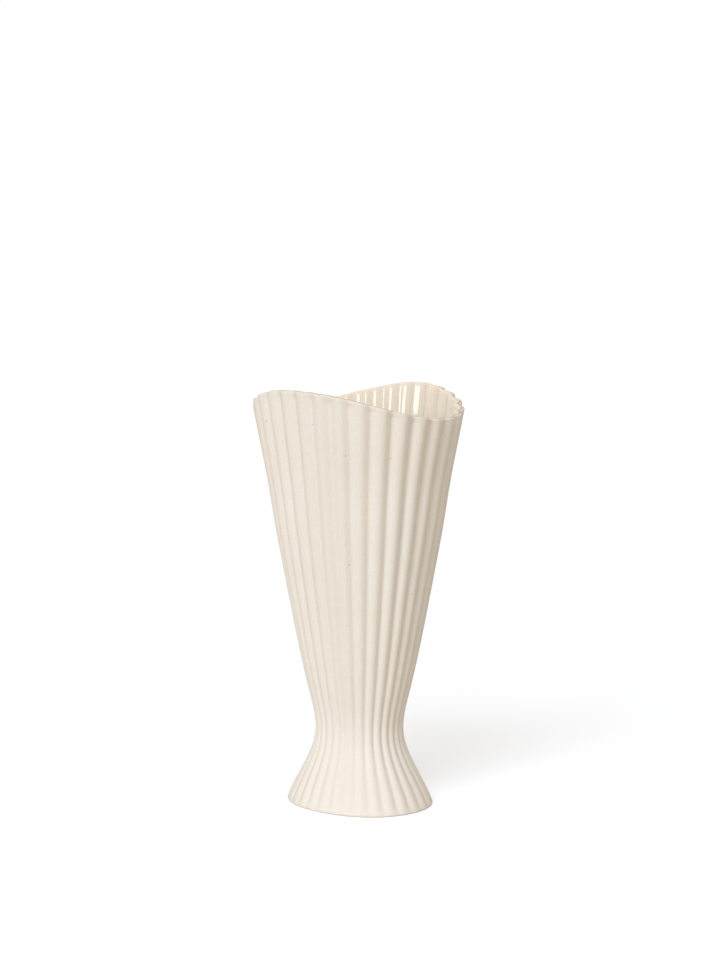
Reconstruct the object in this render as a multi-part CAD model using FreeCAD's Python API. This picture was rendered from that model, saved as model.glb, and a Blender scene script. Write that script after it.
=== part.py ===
import FreeCAD, Part
import math
import os

# A fan vase, cast in one piece of stoneware, with its inside glazed.
# Origin on the table under the middle of the foot, +Z up, +X along the wide way of the oval.
# All sizes are in millimetres.

# Plan of the vase: a power of 2 makes the oval an ellipse, and more makes it squarer
rib_count = 30
oval_power = 2.14

# Outline seen from the front: half of the width over the rib crests at each height
foot_half_width = 43.2
ankle_half_width = 30.0
waist_half_width = 25.3
calf_half_width = 28.3
belly_half_width = 42.9
mouth_half_width = 61.8

# Outline seen from the side: half of the depth over the rib crests at each height
foot_half_depth = 35.7
ankle_half_depth = 27.3
waist_half_depth = 23.9
calf_half_depth = 26.4
belly_half_depth = 38.8
mouth_half_depth = 52.5

# Heights of those places above the table, and of the rim's wave
ankle_height = 26.0
waist_height = 44.0
calf_height = 62.0
belly_height = 130.0
rim_height = 227.2
rim_wave = 7.8

# Outer ribs: how far the valleys lie behind the crests
foot_rib_depth = 1.3
waist_rib_depth = 1.1
mouth_rib_depth = 2.1
lip_rib_depth = 1.7

# Wall over the crests, and the shallow bands that the ribs leave on the inside
foot_wall = 5.2
waist_wall = 4.3
mouth_wall = 4.2
inner_rib_depth = 1.2
lip_round = 1.1

# Floor and foot
floor_thickness = 4.5
foot_bevel = 1.8
foot_ring_width = 6.0
foot_recess = 2.2

# Glaze lining
glaze_thickness = 0.4
glaze_feather = 3.0

# How many bands the wall is built in, one above the other
outer_waist_bands = 3
outer_flare_bands = 4
inner_waist_bands = 2
inner_flare_bands = 4


def curve_over_height(heights, sizes):
    """A function that gives the size at any height, on a smooth curve through the sizes."""
    curve = Part.BSplineCurve()
    points = [FreeCAD.Vector(height, size, 0) for height, size in zip(heights, sizes)]
    curve.interpolate(Points=points, Parameters=heights)
    return lambda height: curve.value(height).y


def straight_over_height(heights, sizes):
    """A function that gives the size at any height, on straight lines between the sizes."""
    def size_at(height):
        for start, end, low, high in zip(heights, heights[1:], sizes, sizes[1:]):
            if height <= end:
                return low + (high - low) * (height - start) / (end - start)
        return sizes[-1]
    return size_at


profile_heights = [0.0, ankle_height, waist_height, calf_height, belly_height, rim_height]
half_width = curve_over_height(profile_heights, [
    foot_half_width, ankle_half_width, waist_half_width,
    calf_half_width, belly_half_width, mouth_half_width,
])
half_depth = curve_over_height(profile_heights, [
    foot_half_depth, ankle_half_depth, waist_half_depth,
    calf_half_depth, belly_half_depth, mouth_half_depth,
])
rib_depth = straight_over_height(
    [0.0, waist_height, rim_height], [foot_rib_depth, waist_rib_depth, mouth_rib_depth])
inner_relief = straight_over_height(
    [0.0, calf_height, rim_height], [0.0, 0.0, inner_rib_depth])
wall = straight_over_height(
    [0.0, waist_height, rim_height], [foot_wall, waist_wall, mouth_wall])


def wave(angle, level):
    """Rise of a ring at this level: the rim is high on the broad sides and low at the ends."""
    share = max(0, level - belly_height) / (rim_height - belly_height)
    return -rim_wave * share * math.cos(2 * angle)


def wall_point(angle, level, inset):
    """A point on the oval outline at this level, moved inwards by the inset."""
    height = level + wave(angle, level)
    across = abs(math.cos(angle) / half_width(height)) ** oval_power
    along = abs(math.sin(angle) / half_depth(height)) ** oval_power
    radius = (across + along) ** (-1 / oval_power) - inset
    return FreeCAD.Vector(radius * math.cos(angle), radius * math.sin(angle), height)


def ring(level, inset, relief, rounded=True):
    """One closed ring of ribs, each from valley to valley over its crest: the two halves of an arc,
    or two chords where it isn't rounded."""
    pitch = 2 * math.pi / rib_count
    edges = []
    for rib in range(rib_count):
        middle = rib * pitch
        start = wall_point(middle - pitch / 2, level, inset + relief)
        crest = wall_point(middle, level, inset)
        end = wall_point(middle + pitch / 2, level, inset + relief)
        if rounded:
            arc = Part.Arc(start, crest, end).toShape()
            edges += arc.split(arc.getParameterByLength(arc.Length / 2)).Edges
        else:
            edges += [Part.LineSegment(start, crest).toShape(), Part.LineSegment(crest, end).toShape()]
    return edges


def skin(rings):
    """The faces between each ring and the next, edge by edge."""
    faces = []
    for first, second in zip(rings, rings[1:]):
        faces += [Part.makeRuledSurface(a, b) for a, b in zip(first, second)]
    return faces


def flat_face(outline, hole=None):
    """A flat face inside a ring, around a second ring where there is one."""
    wires = [Part.Wire(outline)]
    if hole:
        wires.append(Part.Wire(hole))
    return Part.makeFace(wires, "Part::FaceMakerBullseye")


def solid_inside(faces):
    shell = Part.makeShell(faces)
    shell.sewShape()
    return Part.makeSolid(shell)


def evenly(low, high, bands):
    """The levels above the low one that cut the height up to the high one into equal bands."""
    return [low + (high - low) * band / bands for band in range(1, bands + 1)]


def wall_levels(bottom, waist_bands, flare_bands):
    """The levels at which the wall has a ring, from the bottom to the start of the lip."""
    waist = evenly(ankle_height, calf_height, waist_bands)
    flare = evenly(calf_height, rim_height - lip_round, flare_bands)
    return [bottom, ankle_height] + waist + flare


def outer_ring(level):
    return ring(level, 0.0, rib_depth(level))


def inner_ring(level, coat=0.0):
    return ring(level, wall(level) + coat, inner_relief(level), rounded=False)


def lip_rings():
    """The two rings that bound the top of the lip."""
    return [
        ring(rim_height, lip_round, lip_rib_depth),
        ring(rim_height, mouth_wall - lip_round, inner_rib_depth, rounded=False),
    ]


def make_body(inner_levels):
    """The cast shell: foot ring and recess, ribbed outside, lip, and the inside down to its floor."""
    hollow_inset = foot_bevel + foot_rib_depth + foot_ring_width
    contact_edge = ring(0.0, foot_bevel, foot_rib_depth)
    recess_edge = ring(0.0, hollow_inset, 0.0, rounded=False)
    lift = FreeCAD.Vector(0, 0, foot_recess)
    recess_top = [edge.translated(lift) for edge in recess_edge]

    outer_levels = wall_levels(foot_bevel, outer_waist_bands, outer_flare_bands)
    outside = [outer_ring(level) for level in outer_levels]
    inside = [inner_ring(level) for level in reversed(inner_levels)]
    flats = [flat_face(recess_top), flat_face(contact_edge, recess_edge), flat_face(inside[-1])]
    wall_skin = skin([contact_edge] + outside + lip_rings() + inside)
    return solid_inside(flats + skin([recess_edge, recess_top]) + wall_skin)


def make_glaze(inner_levels):
    """The coat on the inside: as thick everywhere, and thinning out to nothing at the lip."""
    outside = [inner_ring(level) for level in inner_levels]
    coat_levels = [inner_levels[0] + glaze_thickness] + inner_levels[1:-1]
    coat_levels.append(inner_levels[-1] - glaze_feather)
    inside = [inner_ring(level, glaze_thickness) for level in reversed(coat_levels)]
    flats = [flat_face(outside[0]), flat_face(inside[-1])]
    return solid_inside(flats + skin(outside + inside))


inner_levels = wall_levels(foot_recess + floor_thickness, inner_waist_bands, inner_flare_bands)
nodes = {"stoneware_body": make_body(inner_levels), "inner_glaze": make_glaze(inner_levels)}

os.makedirs("parts", exist_ok=True)
for name, shape in nodes.items():
    print(name, "valid", shape.isValid(), "faces", len(shape.Faces), "volume", round(shape.Volume))
    shape.exportStep("parts/" + name + ".step")
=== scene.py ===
import math
from collections import namedtuple

import bpy
import numpy as np
from bpy.props import FloatProperty, FloatVectorProperty, IntProperty, PointerProperty
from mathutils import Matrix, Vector


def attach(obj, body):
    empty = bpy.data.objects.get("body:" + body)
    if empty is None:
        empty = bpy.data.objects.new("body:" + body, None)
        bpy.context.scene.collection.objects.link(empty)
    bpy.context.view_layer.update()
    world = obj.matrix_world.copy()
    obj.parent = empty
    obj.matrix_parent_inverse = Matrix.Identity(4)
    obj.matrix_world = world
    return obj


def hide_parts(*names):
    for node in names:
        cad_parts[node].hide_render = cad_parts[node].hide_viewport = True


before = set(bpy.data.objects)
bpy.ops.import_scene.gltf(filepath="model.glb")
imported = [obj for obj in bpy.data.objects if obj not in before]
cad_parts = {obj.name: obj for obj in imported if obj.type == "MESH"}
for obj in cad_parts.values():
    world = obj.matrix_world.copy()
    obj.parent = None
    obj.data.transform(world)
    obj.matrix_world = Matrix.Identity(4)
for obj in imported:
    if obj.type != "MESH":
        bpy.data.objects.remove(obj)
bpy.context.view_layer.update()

bl_info = {
    "name": "Fan Vase",
    "version": (1, 0, 0),
    "blender": (4, 5, 0),
    "location": "3D View > Sidebar > Vase",
    "description": "A fluted stoneware vase with a wavy rim, matt outside and glazed inside",
    "category": "Add Mesh",
}

# Sizes are in metres, and heights are above the table

# How finely the clay and the glaze are divided
COLUMNS_PER_RIB = 18
ROUND_STEPS = 6
FOOT_STEPS = 6
WALL_STEPS = 76
POCKET_STEPS = 12
CLAY_LIP_STEPS = 18
CLAY_INSIDE_STEPS = 35
GLAZE_LIP_STEPS = 14
GLAZE_INSIDE_STEPS = 71
GLAZE_BACK_STEPS = 29
RECESS_SHARES = (0.3, 0.6, 0.85, 0.97)
FLOOR_SHARES = (0.8, 0.5, 0.25)

# Rounding of the foot ring's corners, and of the corner where the inside meets its floor
RING_SOFTNESS = 0.0005
INNER_CORNER = 0.004

# Share of the ribs' depth that is left at the table
RIBS_AT_TABLE = 0.25

# The valleys start to deepen at the first of these heights under the lip, and at the second they
# are as deep as the scallops
POCKET_START = 0.0032
POCKET_END = 0.0004

# The lip: under 1, the first power puts its highest line nearer to the inside, and the second makes
# it fuller than a half circle
LIP_LINE_POWER = 0.74
LIP_FULL_POWER = 0.8

# The toast-brown line, widened into painted shade over the lip's lit top: its middle and its
# spread, as angles on the way over the lip
TOAST_AND_SHADE_MIDDLE = 1.05
TOAST_AND_SHADE_SPREAD = 0.42

# The glaze starts at this angle over the lip, with its face in the clay by the first share of its
# thickness. Its back lies on the other side of the clay's surface, at the second share of the
# distance.
GLAZE_START = math.radians(75)
GLAZE_START_SHARE = -0.4
GLAZE_BACK_SHARE = -0.5

# How the rim strays from the even wave: where its back is highest, and the shares of the slope at
# the back and of the bumps at the front
SWERVE_TURN = math.radians(84)
SWERVE_SLOPE = 0.5
SWERVE_FRONT = 0.45

# The section of one valley: its depth at some places from the crest, 0, to the valley's middle, 1
VALLEY_SECTION = ((0.25, 0.09), (0.50, 0.36), (0.75, 0.74), (0.90, 0.95))

# Scales of the patterns: how many of each fit in a metre
RIB_DRIFT_SCALE = 17.0
CLAY_CLOUD_SCALE = 28.0
CLAY_GRAIN_SCALE = 1500.0
CLAY_SPECK_SCALE = 220.0
TOAST_BREAK_SCALE = 260.0
GLAZE_CLOUD_SCALE = 45.0
GLAZE_GRAIN_SCALE = 900.0
GLAZE_RIPPLE_SCALE = 110.0

# How strongly each colour shows in the clay
CLOUD_SHARE = 0.55
# Painted shade: how strongly the valleys' bottoms are darkened
VALLEY_SHADE_SHARE = 0.12
SPECK_SHARE = 0.6
# The toast-brown line at the lip, with its painted shade over the lip's lit top
TOAST_AND_SHADE_SHARE = 0.85
SCUFF_SHARE = 0.35

# Share of the pattern's cells that have no speck, and the largest speck as a share of its cell
CELLS_WITHOUT_SPECK = 0.90
SPECK_SIZE = 0.085

# The foot's edge is scuffed below the first height, and fully below the second
SCUFF_TOP = 0.0012
SCUFF_FULL = 0.0002

# The studio
FLOOR_HALF_SIZE = 12.0
LAMP_DISTANCE = 2.0
CAMERA_REACH = 50.0


class VaseForm(bpy.types.PropertyGroup):
    """The outline, the ribs and the wall of the vase"""
    rib_count: IntProperty(
        name="Ribs", description="Number of ribs round the vase", default=30, min=8, max=60)
    oval_power: FloatProperty(
        name="Oval power", description="2 is an ellipse, and more is squarer",
        default=2.14, min=1.8, max=4)
    stations: FloatVectorProperty(
        name="Stations", description="Heights at which the outline is given, from foot to rim",
        size=11, unit="LENGTH",
        default=(0.0000, 0.0150, 0.0260, 0.0360, 0.0460, 0.0620,
                 0.1300, 0.1560, 0.1820, 0.2050, 0.2274))
    half_widths: FloatVectorProperty(
        name="Half widths", description="Half of the width over the crests at each station",
        size=11, unit="LENGTH",
        default=(0.0433, 0.0357, 0.0295, 0.0257, 0.0250, 0.0283,
                 0.0430, 0.0481, 0.0526, 0.0575, 0.0624))
    half_depths: FloatVectorProperty(
        name="Half depths", description="Half of the depth over the crests at each station",
        size=11, unit="LENGTH",
        default=(0.0364, 0.0313, 0.0268, 0.0240, 0.0236, 0.0264,
                 0.0389, 0.0430, 0.0464, 0.0498, 0.0529))
    waist_height: FloatProperty(
        name="Waist height", description="Height of the narrowest place",
        default=0.044, unit="LENGTH")
    calf_height: FloatProperty(
        name="Calf height", description="Height from which the inside is ribbed",
        default=0.062, unit="LENGTH")
    belly_height: FloatProperty(
        name="Belly height", description="Height from which the wall follows the rim's wave",
        default=0.130, unit="LENGTH")
    rim_wave: FloatProperty(
        name="Rim wave", description="Rise of the rim at the broad sides, and its fall at the ends",
        default=0.0078, unit="LENGTH")
    wave_flatness: FloatProperty(
        name="Wave flatness", description="Flattens the rim's high places, as a share of the wave",
        default=0.14, min=0, max=0.25)
    rim_swerve: FloatProperty(
        name="Rim swerve",
        description="How far the rim strays from the even wave, most at the back",
        default=0.0012, unit="LENGTH")
    lean: FloatVectorProperty(
        name="Lean", description="How far the mouth stands off the foot, from the clay's warping",
        size=2, default=(-0.0007, -0.0006), unit="LENGTH")
    rib_depths: FloatVectorProperty(
        name="Rib depths", description="Depth of the valleys at the foot, the waist and the mouth",
        size=3, default=(0.0011, 0.0010, 0.0030), unit="LENGTH")
    foot_fade: FloatProperty(
        name="Foot fade", description="Height over which the ribs fade in above the table",
        default=0.006, unit="LENGTH")
    crowding: FloatProperty(
        name="Crowding",
        description="How far the ribs crowd at the ends of the oval, as a share of the pitch",
        default=0.13, min=-0.5, max=0.5)
    rib_turn: FloatProperty(
        name="Rib turn", description="How far all the ribs are turned, as a share of the pitch",
        default=0.16, min=-0.5, max=0.5)
    walls: FloatVectorProperty(
        name="Walls", description="Wall over the crests at the foot, the waist and the mouth",
        size=3, default=(0.0052, 0.0043, 0.0042), unit="LENGTH")
    inner_rib_depth: FloatProperty(
        name="Inner relief", description="Height of the ridges inside the mouth",
        default=0.0017, unit="LENGTH")
    lip_height: FloatProperty(
        name="Lip height", description="Height over which the lip is rounded",
        default=0.0009, unit="LENGTH")
    lip_relief: FloatProperty(
        name="Lip relief", description="Depth of the scallops along the lip",
        default=0.0023, unit="LENGTH")
    foot_round: FloatProperty(
        name="Foot round", description="Rounding of the foot's lower edge",
        default=0.0013, unit="LENGTH")
    foot_ring: FloatProperty(
        name="Foot ring", description="Width of the ring that the vase stands on",
        default=0.0060, unit="LENGTH")
    foot_recess: FloatProperty(
        name="Foot recess", description="Height of the hollow under the foot",
        default=0.0022, unit="LENGTH")
    floor_thickness: FloatProperty(
        name="Floor", description="Clay between the recess and the inside",
        default=0.0045, unit="LENGTH")
    glaze_thickness: FloatProperty(
        name="Glaze", description="Thickness of the fired glaze", default=0.0004, unit="LENGTH")
    wander: FloatProperty(
        name="Wander", description="How far a rib strays from its place, as a share of the pitch",
        default=0.07, min=0, max=0.5)
    unevenness: FloatProperty(
        name="Unevenness", description="How much the depth differs from rib to rib",
        default=0.14, min=0, max=0.5)
    seed: IntProperty(name="Seed", description="Choice of the uneven ribs", default=4)


class VaseFinish(bpy.types.PropertyGroup):
    """The colours of the clay and the glaze"""
    clay: FloatVectorProperty(
        name="Clay", description="Matt stoneware",
        subtype="COLOR", size=3, default=(0.885, 0.885, 0.88))
    clay_warm: FloatVectorProperty(
        name="Warm clay", description="Faint warmer clouds in the stoneware",
        subtype="COLOR", size=3, default=(0.87, 0.857, 0.84))
    # Painted shade, darker and warmer at the bottom of the valleys
    painted_valley_shade: FloatVectorProperty(
        name="Painted valley shade", description="Painted shade at the bottom of the valleys",
        subtype="COLOR", size=3, default=(0.72, 0.63, 0.51))
    speck: FloatVectorProperty(
        name="Specks", description="Iron specks in the clay",
        subtype="COLOR", size=3, default=(0.33, 0.24, 0.16))
    # Toast-brown clay at the lip and the foot's edge; at the lip it is also painted shade over the
    # lit top
    toasted_and_shade: FloatVectorProperty(
        name="Toasted clay and painted lip shade",
        description="Line where the glaze thins at the lip with painted shade over its top, and the scuffed edge of the foot",
        subtype="COLOR", size=3, default=(0.60, 0.48, 0.34))
    glaze: FloatVectorProperty(
        name="Glaze", description="Cream glaze of the inside",
        subtype="COLOR", size=3, default=(0.88, 0.835, 0.74))
    glaze_thin: FloatVectorProperty(
        name="Thin glaze", description="Glaze where it thins over the ridges",
        subtype="COLOR", size=3, default=(0.90, 0.86, 0.785))


class VaseStudio(bpy.types.PropertyGroup):
    """The camera, the lamps, the floor and the light all round"""
    camera_azimuth: FloatProperty(
        name="Camera azimuth", description="Turn of the camera round the vase",
        subtype="ANGLE", default=math.radians(40.6))
    camera_distance: FloatProperty(
        name="Camera distance", description="From the axis of the vase",
        default=1.186, unit="LENGTH")
    camera_height: FloatProperty(
        name="Camera height", description="Above the table", default=0.294, unit="LENGTH")
    aim_height: FloatProperty(
        name="Aim height", description="Height that the camera looks at",
        default=0.1823, unit="LENGTH")
    aim_side: FloatProperty(
        name="Aim to the side", description="How far right of the axis the camera looks",
        default=0.0006, unit="LENGTH")
    lens: FloatProperty(name="Lens", description="Focal length in millimetres", default=79.95)
    key_strength: FloatProperty(
        name="Key lamp", description="Strength of the lamp at the front left", default=1.15)
    key_turn: FloatProperty(
        name="Key turn", description="How far left of the camera the lamp stands",
        subtype="ANGLE", default=math.radians(18))
    key_rise: FloatProperty(
        name="Key rise", description="Height of the lamp above the horizon",
        subtype="ANGLE", default=math.radians(42))
    key_angle: FloatProperty(
        name="Key size", description="How wide the lamp looks from the vase",
        subtype="ANGLE", default=math.radians(33))
    low_strength: FloatProperty(
        name="Low lamp", description="Strength of the low lamp that the glaze mirrors",
        default=0.66)
    low_turn: FloatProperty(
        name="Low turn", description="How far left of the camera the low lamp stands",
        subtype="ANGLE", default=math.radians(38))
    low_rise: FloatProperty(
        name="Low rise", description="Height of the low lamp above the horizon",
        subtype="ANGLE", default=math.radians(13))
    low_angle: FloatProperty(
        name="Low size", description="How wide the low lamp looks from the vase",
        subtype="ANGLE", default=math.radians(25))
    top_strength: FloatProperty(
        name="Top lamp", description="Strength of the broad lamp above, on the right", default=0.44)
    top_turn: FloatProperty(
        name="Top turn", description="How far right of the camera the top lamp stands",
        subtype="ANGLE", default=math.radians(55))
    top_rise: FloatProperty(
        name="Top rise", description="Height of the top lamp above the horizon",
        subtype="ANGLE", default=math.radians(66))
    top_angle: FloatProperty(
        name="Top size", description="How wide the top lamp looks from the vase",
        subtype="ANGLE", default=math.radians(80))
    sky: FloatProperty(
        name="Sky", description="Brightness of the light all round", default=0.355)
    sky_tint: FloatVectorProperty(
        name="Sky tint", description="Colour of the light all round",
        subtype="COLOR", size=3, default=(1.0, 0.80, 0.56))
    floor_light: FloatVectorProperty(
        name="Floor light", description="Colour of the floor that lights the vase",
        subtype="COLOR", size=3, default=(0.82, 0.785, 0.715))
    floor_seen: FloatVectorProperty(
        name="Floor seen", description="Colour of the floor that the camera sees",
        subtype="COLOR", size=3, default=(0.732, 0.815, 0.955))
    floor_lift: FloatProperty(
        name="Floor lift", description="Brings the floor that the camera sees up to white",
        default=0.455)


def smooth_curve(stations, sizes):
    """A function for the size at any height, on a cubic spline through the stations' sizes."""
    x, y = np.array(stations, float), np.array(sizes, float)
    gap = np.diff(x)
    slope = np.diff(y) / gap
    count = len(x)
    first = np.polyval(np.polyder(np.polyfit(x[:4] - x[0], y[:4], 3)), 0.0)
    last = np.polyval(np.polyder(np.polyfit(x[-4:] - x[-1], y[-4:], 3)), 0.0)
    matrix, right = np.zeros((count, count)), np.zeros(count)
    for i in range(1, count - 1):
        matrix[i, i - 1:i + 2] = gap[i - 1], 2 * (gap[i - 1] + gap[i]), gap[i]
        right[i] = 6 * (slope[i] - slope[i - 1])
    matrix[0, :2] = 2 * gap[0], gap[0]
    matrix[-1, -2:] = gap[-1], 2 * gap[-1]
    right[0], right[-1] = 6 * (slope[0] - first), 6 * (last - slope[-1])
    bend = np.linalg.solve(matrix, right)

    def size_at(height):
        height = np.asarray(height, float)
        i = np.clip(np.searchsorted(x, height) - 1, 0, count - 2)
        a, b = (x[i + 1] - height) / gap[i], (height - x[i]) / gap[i]
        curve = ((a ** 3 - a) * bend[i] + (b ** 3 - b) * bend[i + 1]) * gap[i] ** 2 / 6
        return a * y[i] + b * y[i + 1] + curve
    return size_at


def swerve(angle):
    """How the rim strays from its even wave at each angle, the back more than the front."""
    turned = angle - SWERVE_TURN
    back = (np.cos(4 * turned) + SWERVE_SLOPE * np.sin(2 * turned)) * (1 + np.sin(angle)) / 2
    return back + SWERVE_FRONT * np.cos(3 * angle) * (1 - np.sin(angle)) / 2


class Outline:
    """The smooth oval outline of the vase, before its ribs are cut."""

    def __init__(self, form):
        self.form = form
        self.rim = form.stations[-1]
        self.half_width = smooth_curve(form.stations, form.half_widths)
        self.half_depth = smooth_curve(form.stations, form.half_depths)

    def between(self, level, sizes):
        """A size that runs in straight lines from the foot to the waist and on to the mouth."""
        return np.interp(level, (0.0, self.form.waist_height, self.rim), sizes)

    def inner_relief(self, level):
        """Height of the ridges inside, which start at the calf and grow up to the mouth."""
        heights = (self.form.calf_height, self.rim)
        return np.interp(level, heights, (0.0, self.form.inner_rib_depth))

    def points(self, turns, row):
        """The points of one ring, moved in by its inset and then drawn towards the axis."""
        form = self.form
        angle = 2 * math.pi * turns
        rise = max(0.0, row.level - form.belly_height) / (self.rim - form.belly_height)
        swing = np.cos(2 * angle) + form.wave_flatness * np.cos(4 * angle)
        height = row.level - rise * (form.rim_wave * swing - form.rim_swerve * swerve(angle))
        power = form.oval_power
        across = np.abs(np.cos(angle) / self.half_width(height)) ** power
        along = np.abs(np.sin(angle) / self.half_depth(height)) ** power
        radius = ((across + along) ** (-1 / power) - row.inset) * row.share
        drift = row.level / self.rim - 0.5
        x = radius * np.cos(angle) + form.lean[0] * drift
        y = radius * np.sin(angle) + form.lean[1] * drift
        return np.stack([x, y, height], axis=1)


# One ring of the wall: its level, its distance in from the outline, the depth of its valleys, the
# share of its radius that is left on a flat floor, and the share of the lip there that is
# toast-brown with painted shade, or dulled
Row = namedtuple("Row", "level inset relief share lip", defaults=(0.0, 1.0, 0.0))


def steps_up_to(low, high, count):
    """The values at equal steps from low to high, without low itself."""
    return np.linspace(low, high, count + 1)[1:]


def smooth_share(value):
    """A share that starts and ends softly as the value goes from 0 to 1."""
    value = min(1.0, max(0.0, value))
    return value * value * (3 - 2 * value)


def foot_share(form, level):
    """How much of the ribs' depth is left near the table, where they fade out."""
    return RIBS_AT_TABLE + (1 - RIBS_AT_TABLE) * smooth_share(level / form.foot_fade)


def foot_rows(form):
    """The underside, from its middle over the recess and the ring to the rounded lower edge."""
    ring_inset = form.foot_round + form.foot_ring + form.rib_depths[0]
    rows = [Row(form.foot_recess, ring_inset, share=share) for share in RECESS_SHARES]
    rows += [Row(form.foot_recess - RING_SOFTNESS, ring_inset), Row(RING_SOFTNESS, ring_inset)]
    rows += [Row(0.0, ring_inset - RING_SOFTNESS)]
    for step in np.linspace(0.0, math.pi / 2, ROUND_STEPS + 1):
        inset = form.foot_round * (1 - math.sin(step))
        level = form.foot_round * (1 - math.cos(step))
        rows.append(Row(level, inset, form.rib_depths[0] * foot_share(form, level)))
    return rows


def outside_rows(form, outline):
    """The outer wall, from the foot's rounded edge up to the lip. The rings lie closer near the
    lip, where each valley ends in a small pocket."""
    low, high = form.foot_round, outline.rim - form.lip_height
    pocket = high - POCKET_START
    foot = steps_up_to(low, form.foot_fade, FOOT_STEPS)
    wall = steps_up_to(form.foot_fade, pocket, WALL_STEPS)
    under_lip = steps_up_to(pocket, high, POCKET_STEPS)[:-1]
    rows = []
    for level in np.concatenate([foot, wall, under_lip]):
        relief = float(outline.between(level, form.rib_depths)) * foot_share(form, level)
        share = smooth_share((level - pocket) / (high - POCKET_END - pocket))
        rows.append(Row(level, 0.0, relief + (form.lip_relief - relief) * share))
    return rows


def lip_row(form, outline, step, coat=0.0):
    """One ring of the rounded lip: a step of 0 is its outer edge, and pi its inner edge."""
    across = ((1 - math.cos(step)) / 2) ** LIP_LINE_POWER
    below = form.lip_height * (1 - abs(math.sin(step)) ** LIP_FULL_POWER)
    level = outline.rim - below + coat * math.sin(step)
    inset = form.walls[2] * across - coat * math.cos(step)
    relief = form.lip_relief + (form.inner_rib_depth - form.lip_relief) * across
    # The toast-brown line, widened into painted shade over the lip's lit top
    toast = math.exp(-((step - TOAST_AND_SHADE_MIDDLE) / TOAST_AND_SHADE_SPREAD) ** 2)
    return Row(level, inset, relief, lip=toast)


def lip_rows(form, outline):
    """The rounded lip, from the outer wall over the top to the inner wall."""
    steps = np.linspace(0.0, math.pi, CLAY_LIP_STEPS + 1)
    return [lip_row(form, outline, step) for step in steps]


def glazed_lip_rows(form, outline, coat):
    """The inner side of the lip, where the glaze gets its thickness and is dull all the way."""
    steps = np.linspace(GLAZE_START, math.pi, GLAZE_LIP_STEPS + 1)
    shares = np.linspace(GLAZE_START_SHARE, 1.0, GLAZE_LIP_STEPS + 1)
    rows = [lip_row(form, outline, step, coat * share) for step, share in zip(steps, shares)]
    return [row._replace(lip=1.0) for row in rows]


def inside_rows(form, outline, steps, coat=0.0):
    """The inner wall from the lip down to the floor, and the floor in to its middle."""
    floor = form.foot_recess + form.floor_thickness + coat
    top = outline.rim - form.lip_height
    rows = []
    for level in steps_up_to(top, floor + INNER_CORNER, steps):
        inset = outline.between(level, form.walls) + coat
        rows.append(Row(level, float(inset), float(outline.inner_relief(level))))
    for step in steps_up_to(0.0, math.pi / 2, ROUND_STEPS):
        level = floor + INNER_CORNER * (1 - math.sin(step))
        inset = outline.between(level, form.walls) + coat + INNER_CORNER * (1 - math.cos(step))
        rows.append(Row(level, float(inset)))
    edge = rows[-1].inset
    return rows + [Row(floor, edge, share=share) for share in FLOOR_SHARES]


def lathe(name, outline, rows, bottom, top):
    """A closed mesh with one ring for each row, from a pole at the height of the bottom to one at
    the height of the top. Each point keeps its place round the vase, and its row's relief and
    lip."""
    columns = outline.form.rib_count * COLUMNS_PER_RIB
    turns = np.arange(columns) / columns
    rings = [outline.points(turns, row) for row in rows]
    points = np.concatenate(rings + [np.array([[0, 0, bottom], [0, 0, top]])])
    first_pole, last_pole = len(points) - 2, len(points) - 1
    last_ring = (len(rows) - 1) * columns
    faces = []
    for low in range(0, last_ring, columns):
        high = low + columns
        for k in range(columns):
            n = (k + 1) % columns
            faces.append((low + k, low + n, high + n, high + k))
    for k in range(columns):
        n = (k + 1) % columns
        faces.append((first_pole, n, k))
        faces.append((last_pole, last_ring + k, last_ring + n))
    mesh = bpy.data.meshes.new(name)
    mesh.from_pydata(points.tolist(), [], faces)
    keep_values(mesh, "around", np.tile(turns, len(rows)))
    keep_values(mesh, "relief", np.repeat([row.relief for row in rows], columns))
    keep_values(mesh, "lip", np.repeat([row.lip for row in rows], columns))
    mesh.validate()
    return mesh


def keep_values(mesh, name, values):
    """Stores a value for each point of the rings, and 0 for the two poles."""
    attribute = mesh.attributes.new(name, "FLOAT", "POINT")
    attribute.data.foreach_set("value", np.append(values, [0, 0]).astype(np.float32))


class Wiring:
    """A short way to add nodes to a tree and join them."""

    def __init__(self, tree):
        self.tree = tree

    def add(self, kind, inputs=(), **settings):
        node = self.tree.nodes.new(kind)
        for key, value in settings.items():
            setattr(node, key, value)
        for key, value in dict(inputs).items():
            if isinstance(value, bpy.types.NodeSocket):
                self.tree.links.new(value, node.inputs[key])
            else:
                node.inputs[key].default_value = value
        return node

    def math(self, operation, *values):
        return self.add("ShaderNodeMath", dict(enumerate(values)), operation=operation).outputs[0]

    def times(self, a, b):
        return self.math("MULTIPLY", a, b)

    def minus(self, a, b):
        return self.math("SUBTRACT", a, b)

    def scaled(self, vector, factor):
        """A vector or colour times a number."""
        inputs = {0: vector, "Scale": factor}
        return self.add("ShaderNodeVectorMath", inputs, operation="SCALE").outputs[0]

    def mix(self, share, a, b):
        """Colour a where the share is 0, and colour b where it is 1."""
        return self.add("ShaderNodeMix", {0: share, 6: a, 7: b}, data_type="RGBA").outputs[2]

    def noise(self, place, scale, detail=2.0, roughness=0.5):
        return self.add("ShaderNodeTexNoise", {
            "Vector": place, "Scale": scale, "Detail": detail, "Roughness": roughness,
        }).outputs["Fac"]

    def ramp(self, value, low, high, start=0.0, end=1.0):
        """Goes softly from start to end as the value goes from low to high."""
        return self.add("ShaderNodeMapRange", {
            "Value": value, "From Min": low, "From Max": high, "To Min": start, "To Max": end,
        }, interpolation_type="SMOOTHSTEP").outputs[0]


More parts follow.
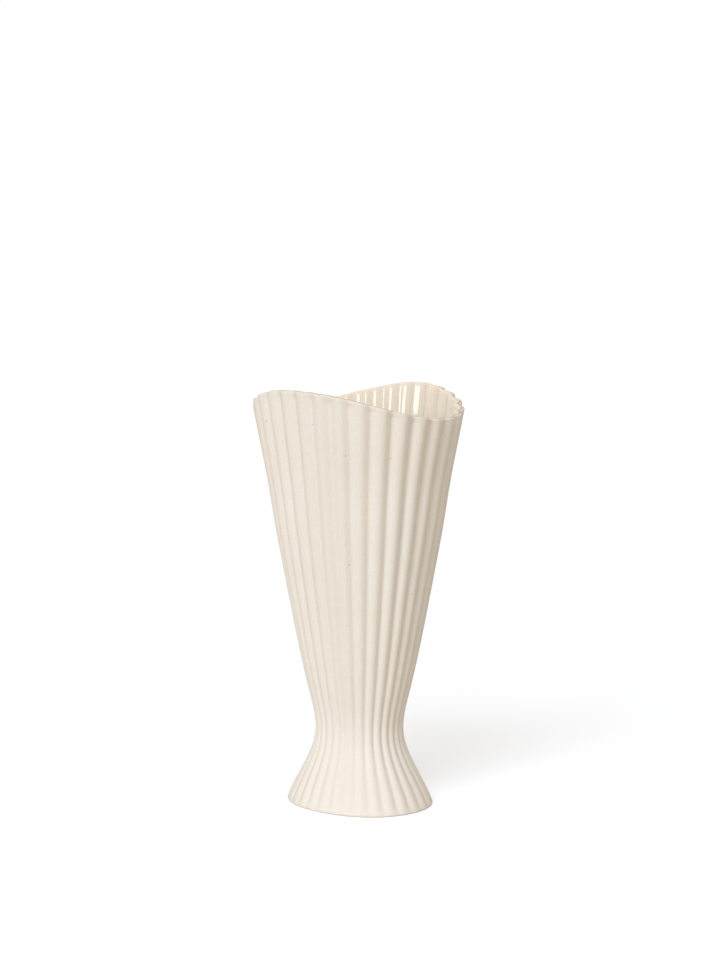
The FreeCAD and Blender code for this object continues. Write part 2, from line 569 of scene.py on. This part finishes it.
def rib_tree():
    """The node tree that cuts the ribs into a smooth wall, and lets them wander a little."""
    tree = bpy.data.node_groups.new("Cut ribs", "GeometryNodeTree")
    face = tree.interface
    face.new_socket("Geometry", in_out="INPUT", socket_type="NodeSocketGeometry")
    for name, kind in (("Rib Count", "Int"), ("Rib Turn", "Float"), ("Crowding", "Float"),
                       ("Wander", "Float"), ("Unevenness", "Float"), ("Seed", "Int"),
                       ("Material", "Material")):
        face.new_socket(name, in_out="INPUT", socket_type="NodeSocket" + kind)
    face.new_socket("Geometry", in_out="OUTPUT", socket_type="NodeSocketGeometry")
    wire = Wiring(tree)
    given = wire.add("NodeGroupInput").outputs

    def stored(name):
        kind = "GeometryNodeInputNamedAttribute"
        return wire.add(kind, {"Name": name}, data_type="FLOAT").outputs[0]

    # Which rib each point belongs to, and how far it is from the crest: 1 is the valley's middle
    around, relief = stored("around"), stored("relief")
    place = wire.add("GeometryNodeInputPosition").outputs[0]
    drift = wire.add("ShaderNodeTexNoise", {
        "Vector": place, "W": given["Seed"], "Scale": RIB_DRIFT_SCALE, "Detail": 1.0,
    }, noise_dimensions="4D").outputs[0]
    stray = wire.times(wire.minus(drift, 0.5), given["Wander"])
    angle = wire.times(around, 2 * math.pi)
    crowd = wire.times(wire.math("SINE", wire.times(angle, 2.0)), given["Crowding"])
    even = wire.math("MULTIPLY_ADD", around, given["Rib Count"], given["Rib Turn"])
    turn = wire.math("ADD", wire.math("ADD", even, crowd), stray)
    rib = wire.math("FLOOR", wire.math("ADD", turn, 0.5))
    from_crest = wire.times(wire.math("ABSOLUTE", wire.minus(turn, rib)), 2.0)

    # The section of the valley, with its two ends and the points between them
    section = wire.add("ShaderNodeFloatCurve", {"Value": from_crest})
    points = section.mapping.curves[0].points
    for across, depth in VALLEY_SECTION:
        points.new(across, depth)
    points[0].location, points[-1].location = (0, 0), (1, 1)
    section.mapping.update()
    valley = section.outputs[0]

    # The depth of the cut, a little different from rib to rib
    number = wire.math("FLOORED_MODULO", rib, given["Rib Count"])
    chance = wire.add("FunctionNodeRandomValue", {
        2: 0.0, 3: 1.0, "ID": number, "Seed": given["Seed"]}, data_type="FLOAT").outputs[1]
    uneven = wire.times(wire.minus(chance, 0.5), given["Unevenness"])
    deepest = wire.times(relief, wire.minus(1.0, wire.math("ABSOLUTE", uneven)))
    cut = wire.times(deepest, valley)

    outwards = wire.add("ShaderNodeCombineXYZ", {
        0: wire.math("COSINE", angle), 1: wire.math("SINE", angle)}).outputs[0]
    inwards = wire.scaled(outwards, wire.times(cut, -1.0))
    moved = wire.add("GeometryNodeSetPosition", {"Geometry": given["Geometry"], "Offset": inwards})
    noted = wire.add("GeometryNodeStoreNamedAttribute", {
        "Geometry": moved.outputs[0], "Name": "valley", "Value": valley}, data_type="FLOAT")
    smooth = wire.add("GeometryNodeSetShadeSmooth", {"Geometry": noted.outputs[0]})
    real = wire.add("GeometryNodeRealizeInstances", {"Geometry": smooth.outputs[0]})
    painted = wire.add("GeometryNodeSetMaterial", {
        "Geometry": real.outputs[0], "Material": given["Material"]})
    wire.add("NodeGroupOutput", {0: painted.outputs[0]})
    return tree


def cut_ribs(mesh, form, material):
    """The mesh as a plain object with its ribs cut by the node tree."""
    tree = bpy.data.node_groups.get("Cut ribs") or rib_tree()
    blank = bpy.data.objects.new(mesh.name + "_blank", mesh)
    bpy.context.scene.collection.objects.link(blank)
    modifier = blank.modifiers.new("Ribs", "NODES")
    modifier.node_group = tree
    values = {"Rib Count": form.rib_count, "Rib Turn": form.rib_turn, "Crowding": form.crowding,
              "Wander": form.wander, "Unevenness": form.unevenness, "Seed": form.seed,
              "Material": material}
    for socket in tree.interface.items_tree:
        if socket.in_out == "INPUT" and socket.name in values:
            modifier[socket.identifier] = values[socket.name]
    bpy.context.view_layer.update()
    graph = bpy.context.evaluated_depsgraph_get()
    ribbed = bpy.data.meshes.new_from_object(blank.evaluated_get(graph))
    blank.modifiers.remove(modifier)
    bpy.data.objects.remove(blank)
    ribbed.name = mesh.name
    piece = bpy.data.objects.new(mesh.name, ribbed)
    bpy.context.scene.collection.objects.link(piece)
    return piece


def empty_wiring(owner):
    """The cleared node tree of a material or a world, ready for its nodes."""
    owner.use_nodes = True
    owner.node_tree.nodes.clear()
    return Wiring(owner.node_tree)


def opaque(colour):
    return tuple(colour) + (1.0,)


def stored_value(wire, name):
    return wire.add("ShaderNodeAttribute", attribute_name=name).outputs["Fac"]


def stoneware_material(finish):
    """Matt clay: a fine grain, faint clouds, painted shade in the valleys, a few iron specks with
    pinholes, a toast-brown line along the lip widened into painted shade over its lit top, and a
    scuffed foot."""
    material = bpy.data.materials.new("Matt stoneware")
    wire = empty_wiring(material)
    place = wire.add("ShaderNodeTexCoord").outputs["Object"]

    grain = wire.noise(place, CLAY_GRAIN_SCALE, detail=3.0, roughness=0.65)
    clouds = wire.ramp(wire.noise(place, CLAY_CLOUD_SCALE, detail=3.0), 0.38, 0.68)
    warm = wire.times(clouds, CLOUD_SHARE)
    colour = wire.mix(warm, opaque(finish.clay), opaque(finish.clay_warm))
    # Painted shade that darkens the bottom of the valleys
    deep = wire.ramp(stored_value(wire, "valley"), 0.60, 1.0, end=VALLEY_SHADE_SHARE)
    colour = wire.mix(deep, colour, opaque(finish.painted_valley_shade))
    colour = wire.scaled(colour, wire.ramp(grain, 0.25, 0.75, start=0.955, end=1.035))

    cells = wire.add("ShaderNodeTexVoronoi", {"Vector": place, "Scale": CLAY_SPECK_SCALE})
    chance = wire.add("ShaderNodeSeparateColor", {0: cells.outputs["Color"]}).outputs[0]
    size = wire.ramp(chance, CELLS_WITHOUT_SPECK, 1.0, end=SPECK_SIZE)
    spot = wire.math("LESS_THAN", cells.outputs["Distance"], size)
    colour = wire.mix(wire.times(spot, SPECK_SHARE), colour, opaque(finish.speck))

    broken = wire.ramp(wire.noise(place, TOAST_BREAK_SCALE), 0.30, 0.62, start=0.35)
    # The toast-brown line along the lip, with painted shade over the lip's lit top
    line = wire.times(stored_value(wire, "lip"), broken)
    colour = wire.mix(wire.times(line, TOAST_AND_SHADE_SHARE), colour, opaque(finish.toasted_and_shade))
    height = wire.add("ShaderNodeSeparateXYZ", {0: place}).outputs[2]
    scuffed = wire.times(wire.ramp(height, SCUFF_TOP, SCUFF_FULL), broken)
    colour = wire.mix(wire.times(scuffed, SCUFF_SHARE), colour, opaque(finish.toasted_and_shade))

    # The specks are pits, much deeper than the grain
    relief = wire.minus(grain, wire.times(spot, 2.5))
    bump = wire.add("ShaderNodeBump", {"Strength": 0.35, "Distance": 0.00012, "Height": relief})
    shader = wire.add("ShaderNodeBsdfPrincipled", {
        "Base Color": colour, "Normal": bump.outputs[0], "IOR": 1.45,
        "Roughness": wire.ramp(grain, 0.2, 0.8, start=0.72, end=0.88),
        "Specular IOR Level": 0.22})
    wire.add("ShaderNodeOutputMaterial", {"Surface": shader.outputs[0]})
    return material


def glaze_material(finish):
    """Glossy cream glaze: paler where it thins over the ridges, dull at the lip, with a ripple."""
    material = bpy.data.materials.new("Clear cream glaze")
    wire = empty_wiring(material)
    place = wire.add("ShaderNodeTexCoord").outputs["Object"]

    thin = wire.ramp(stored_value(wire, "valley"), 0.45, 1.0)
    clouds = wire.noise(place, GLAZE_CLOUD_SCALE)
    pale = wire.math("ADD", wire.times(thin, 0.6), wire.times(clouds, 0.3))
    colour = wire.mix(pale, opaque(finish.glaze), opaque(finish.glaze_thin))
    grain = wire.noise(place, GLAZE_GRAIN_SCALE)
    colour = wire.scaled(colour, wire.ramp(grain, 0.3, 0.7, start=0.985, end=1.012))

    ripple = wire.noise(place, GLAZE_RIPPLE_SCALE)
    bump = wire.add("ShaderNodeBump", {"Strength": 0.25, "Distance": 0.0003, "Height": ripple})
    dull = stored_value(wire, "lip")
    shader = wire.add("ShaderNodeBsdfPrincipled", {
        "Base Color": colour, "Normal": bump.outputs[0], "IOR": 1.5,
        "Roughness": wire.ramp(dull, 0.4, 0.8, start=0.07, end=0.45),
        "Coat Weight": wire.ramp(dull, 0.4, 0.8, start=0.8, end=0.0),
        "Coat Roughness": 0.03})
    wire.add("ShaderNodeOutputMaterial", {"Surface": shader.outputs[0]})
    return material


def place_piece(piece, node):
    """Puts a finished piece on the body and in the place of its CAD node."""
    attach(piece, "root")
    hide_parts(node)


class VASE_OT_body(bpy.types.Operator):
    """Makes the cast stoneware body with its ribs, lip and foot"""
    bl_idname = "vase.body"
    bl_label = "Stoneware body"

    def execute(self, context):
        form = context.scene.vase_form
        outline = Outline(form)
        rows = foot_rows(form) + outside_rows(form, outline) + lip_rows(form, outline)
        rows += inside_rows(form, outline, CLAY_INSIDE_STEPS)
        mesh = lathe("fluted_body", outline, rows, form.foot_recess, rows[-1].level)
        body = cut_ribs(mesh, form, stoneware_material(context.scene.vase_finish))
        place_piece(body, "stoneware_body")
        return {"FINISHED"}


class VASE_OT_glaze(bpy.types.Operator):
    """Makes the fired glaze that lines the inside"""
    bl_idname = "vase.glaze"
    bl_label = "Glaze lining"

    def execute(self, context):
        form = context.scene.vase_form
        outline = Outline(form)
        coat = form.glaze_thickness
        front = glazed_lip_rows(form, outline, coat)
        front += inside_rows(form, outline, GLAZE_INSIDE_STEPS, coat)
        sunk = coat * GLAZE_BACK_SHARE
        back = glazed_lip_rows(form, outline, sunk)
        back += inside_rows(form, outline, GLAZE_BACK_STEPS, sunk)
        rows = back[:0:-1] + front
        mesh = lathe("glaze_lining", outline, rows, back[-1].level, front[-1].level)
        lining = cut_ribs(mesh, form, glaze_material(context.scene.vase_finish))
        place_piece(lining, "inner_glaze")
        return {"FINISHED"}


def direction(azimuth, elevation=0.0):
    """From the vase towards a lamp or camera at this turn round it."""
    flat = math.cos(elevation)
    return Vector((math.sin(azimuth) * flat, -math.cos(azimuth) * flat, math.sin(elevation)))


def add_lamp(name, azimuth, elevation, angle, strength):
    """Adds a distant soft lamp, whose light is as strong all over the floor."""
    data = bpy.data.lights.new(name, "SUN")
    data.angle = angle
    data.energy = strength
    lamp = bpy.data.objects.new(name, data)
    lamp.location = direction(azimuth, elevation) * LAMP_DISTANCE
    lamp.rotation_euler = (-direction(azimuth, elevation)).to_track_quat("-Z", "Y").to_euler()
    bpy.context.scene.collection.objects.link(lamp)


def seen_share(wire):
    """1 for the camera, a reflection or clear glass, and 0 for the light that falls on the vase."""
    path = wire.add("ShaderNodeLightPath").outputs
    seen = wire.math("MAXIMUM", path["Is Camera Ray"], path["Is Transmission Ray"])
    return wire.math("MAXIMUM", seen, path["Is Glossy Ray"])


def floor_material(studio):
    """White floor, which keeps its shadow and is seen a little brighter than it lights the vase."""
    material = bpy.data.materials.new("White floor")
    wire = empty_wiring(material)
    matt = wire.add("ShaderNodeBsdfDiffuse", {"Color": opaque(studio.floor_light)})
    cool = wire.add("ShaderNodeBsdfDiffuse", {"Color": opaque(studio.floor_seen)})
    lift = wire.add("ShaderNodeEmission", {"Color": (1, 1, 1, 1), "Strength": studio.floor_lift})
    bright = wire.add("ShaderNodeAddShader", {0: cool.outputs[0], 1: lift.outputs[0]})
    both = wire.add("ShaderNodeMixShader", {
        0: seen_share(wire), 1: matt.outputs[0], 2: bright.outputs[0]})
    wire.add("ShaderNodeOutputMaterial", {"Surface": both.outputs[0]})
    return material


def white_world(studio):
    """Even light all round, and plain white where the camera or a reflection sees it."""
    world = bpy.data.worlds.new("White studio")
    wire = empty_wiring(world)
    light = wire.add("ShaderNodeBackground", {
        "Color": opaque(studio.sky_tint), "Strength": studio.sky})
    plain = wire.add("ShaderNodeBackground", {"Color": (1, 1, 1, 1), "Strength": 1.0})
    both = wire.add("ShaderNodeMixShader", {
        0: seen_share(wire), 1: light.outputs[0], 2: plain.outputs[0]})
    wire.add("ShaderNodeOutputWorld", {"Surface": both.outputs[0]})
    return world


def add_floor(studio):
    """Adds the flat floor, which isn't part of the vase."""
    half = FLOOR_HALF_SIZE
    corners = [(-half, -half, 0), (half, -half, 0), (half, half, 0), (-half, half, 0)]
    mesh = bpy.data.meshes.new("floor")
    mesh.from_pydata(corners, [], [(0, 1, 2, 3)])
    mesh.materials.append(floor_material(studio))
    floor = bpy.data.objects.new("floor", mesh)
    bpy.context.scene.collection.objects.link(floor)


def add_camera(studio):
    """Adds the camera at the photograph's angle."""
    azimuth = studio.camera_azimuth
    aside = Vector((math.cos(azimuth), math.sin(azimuth), 0)) * studio.aim_side
    aim = aside + Vector((0, 0, studio.aim_height))
    data = bpy.data.cameras.new("camera")
    data.lens = studio.lens
    data.clip_end = CAMERA_REACH
    camera = bpy.data.objects.new("camera", data)
    camera.location = aside + direction(azimuth) * studio.camera_distance
    camera.location.z = studio.camera_height
    camera.rotation_euler = (aim - camera.location).to_track_quat("-Z", "Y").to_euler()
    bpy.context.scene.collection.objects.link(camera)
    bpy.context.scene.camera = camera


class VASE_OT_stage(bpy.types.Operator):
    """Makes the floor, the white surroundings, the lamps and the camera"""
    bl_idname = "vase.stage"
    bl_label = "Studio stage"

    def execute(self, context):
        studio = context.scene.vase_studio
        add_floor(studio)
        context.scene.world = white_world(studio)
        azimuth = studio.camera_azimuth
        add_lamp("key_lamp", azimuth - studio.key_turn, studio.key_rise,
                 studio.key_angle, studio.key_strength)
        add_lamp("low_lamp", azimuth - studio.low_turn, studio.low_rise,
                 studio.low_angle, studio.low_strength)
        add_lamp("top_lamp", azimuth + studio.top_turn, studio.top_rise,
                 studio.top_angle, studio.top_strength)
        add_camera(studio)
        context.scene.view_settings.view_transform = "Standard"
        return {"FINISHED"}


class VASE_PT_panel(bpy.types.Panel):
    """The vase's tools in the sidebar"""
    bl_idname = "VASE_PT_panel"
    bl_label = "Fan Vase"
    bl_space_type = "VIEW_3D"
    bl_region_type = "UI"
    bl_category = "Vase"

    def draw(self, context):
        layout = self.layout
        scene = context.scene
        for operator in (VASE_OT_body, VASE_OT_glaze, VASE_OT_stage):
            layout.operator(operator.bl_idname)
        for group in (scene.vase_form, scene.vase_finish, scene.vase_studio):
            box = layout.box()
            for name in group.bl_rna.properties.keys():
                if name not in ("rna_type", "name"):
                    box.prop(group, name)


classes = (VaseForm, VaseFinish, VaseStudio,
           VASE_OT_body, VASE_OT_glaze, VASE_OT_stage, VASE_PT_panel)


def register():
    for item in classes:
        bpy.utils.register_class(item)
    bpy.types.Scene.vase_form = PointerProperty(type=VaseForm)
    bpy.types.Scene.vase_finish = PointerProperty(type=VaseFinish)
    bpy.types.Scene.vase_studio = PointerProperty(type=VaseStudio)


def unregister():
    del bpy.types.Scene.vase_form, bpy.types.Scene.vase_finish, bpy.types.Scene.vase_studio
    for item in reversed(classes):
        bpy.utils.unregister_class(item)


def main():
    register()
    bpy.ops.vase.body()
    bpy.ops.vase.glaze()
    bpy.ops.vase.stage()


if __name__ == "__main__":
    main()
